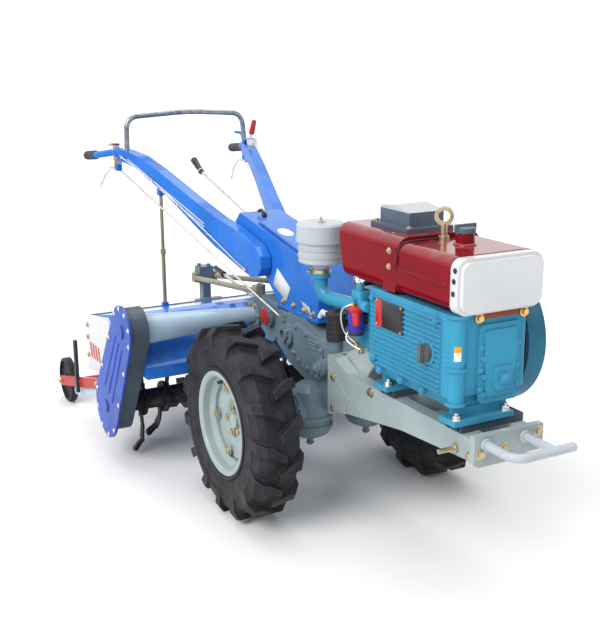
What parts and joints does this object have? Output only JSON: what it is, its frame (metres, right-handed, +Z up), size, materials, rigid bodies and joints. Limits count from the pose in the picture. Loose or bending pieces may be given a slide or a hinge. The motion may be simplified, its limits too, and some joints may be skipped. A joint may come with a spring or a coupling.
{
  "type": "walking tractor with rotary tiller",
  "caption": "Two-wheel walking tractor with a horizontal single-cylinder diesel engine, long handlebars and a chain-driven rotary tiller under a hood behind the wheels.",
  "frame": {"origin": "on the ground, at the middle of the overall length and on the mid-plane between the drive wheels", "axes": "+X to the front, +Y to the machine's left, +Z up"},
  "size_m": [2.642, 1.25, 1.2477],
  "materials": {
    "blue_paint": "gloss",
    "crimson_paint": "gloss",
    "white_paint": "gloss",
    "teal_paint": "gloss",
    "slate_paint": "satin",
    "frame_paint": "satin",
    "graphite_paint": "satin",
    "silver_blue_paint": "gloss",
    "signal_red_paint": "satin",
    "beige_paint": "satin",
    "grey_paint": "satin",
    "heat_black_paint": "matte",
    "blade_steel": "satin",
    "zinc_steel": "satin",
    "tyre_rubber": "matte",
    "black_rubber": "matte",
    "knob_plastic": "gloss"
  },
  "bodies": {
    "chassis": {"air_cleaner": "grey_paint", "belt_guard": "slate_paint", "chain_case": "graphite_paint", "chain_cover": "blue_paint", "chassis_frame": "frame_paint", "condenser_tank": "crimson_paint", "console": "blue_paint", "control_rods": "zinc_steel", "cylinder_head": "teal_paint", "depth_arms": "signal_red_paint", "drive_belts": "black_rubber", "engine_block": "teal_paint", "engine_mounts": "graphite_paint", "engine_trim": "grey_paint", "filters": "heat_black_paint", "front_bumper": "frame_paint", "fuel_tank": "crimson_paint", "gearbox_case": "slate_paint", "hand_grips": "black_rubber", "handle_arms": "blue_paint", "handle_bars": "zinc_steel", "handle_hoop": "grey_paint", "lever_knobs": "knob_plastic", "levers": "zinc_steel", "muffler": "heat_black_paint", "rotor_bearing": "graphite_paint", "side_shields": "white_paint", "tail_bars": "silver_blue_paint", "tail_posts": "graphite_paint", "tail_stays": "beige_paint", "tank_front_cover": "white_paint", "tank_tops": "grey_paint", "tiller_gearcase": "slate_paint", "tiller_hood": "blue_paint", "tiller_tube": "silver_blue_paint", "zinc_fittings": "zinc_steel"},
    "right_wheel": {"right_tyre": "tyre_rubber", "right_rim": "frame_paint"},
    "left_wheel": {"left_tyre": "tyre_rubber", "left_rim": "frame_paint"},
    "engine_flywheel": {"flywheel": "teal_paint"},
    "clutch_drum": {"clutch_pulley": "slate_paint"},
    "rotor": {"tiller_rotor": "blade_steel"},
    "right_depth_roller": {"right_depth_wheel": "tyre_rubber"},
    "left_depth_roller": {"left_depth_wheel": "tyre_rubber"}
  },
  "joints": [
    {"name": "right_wheel_spin", "type": "hinge", "parent": "chassis", "child": "right_wheel", "pos_m": [0.285, -0.37, 0.32], "axis": [0, 1, 0], "continuous": true},
    {"name": "left_wheel_spin", "type": "hinge", "parent": "chassis", "child": "left_wheel", "pos_m": [0.285, 0.37, 0.32], "axis": [0, 1, 0], "continuous": true},
    {"name": "flywheel_spin", "type": "hinge", "parent": "chassis", "child": "engine_flywheel", "pos_m": [0.853, 0.19, 0.688], "axis": [0, 1, 0], "continuous": true},
    {"name": "clutch_drum_spin", "type": "hinge", "parent": "chassis", "child": "clutch_drum", "pos_m": [0.19, 0.25, 0.545], "axis": [0, 1, 0], "continuous": true},
    {"name": "rotor_spin", "type": "hinge", "parent": "chassis", "child": "rotor", "pos_m": [-0.365, 0, 0.208], "axis": [0, 1, 0], "continuous": true},
    {"name": "right_depth_wheel_spin", "type": "hinge", "parent": "chassis", "child": "right_depth_roller", "pos_m": [-1.087, -0.562, 0.096], "axis": [0, 1, 0], "continuous": true},
    {"name": "left_depth_wheel_spin", "type": "hinge", "parent": "chassis", "child": "left_depth_roller", "pos_m": [-1.087, 0.562, 0.096], "axis": [0, 1, 0], "continuous": true}
  ],
  "couplings": [
    {"joint": "clutch_drum_spin", "follows": "flywheel_spin", "ratio": 0.6875}
  ]
}
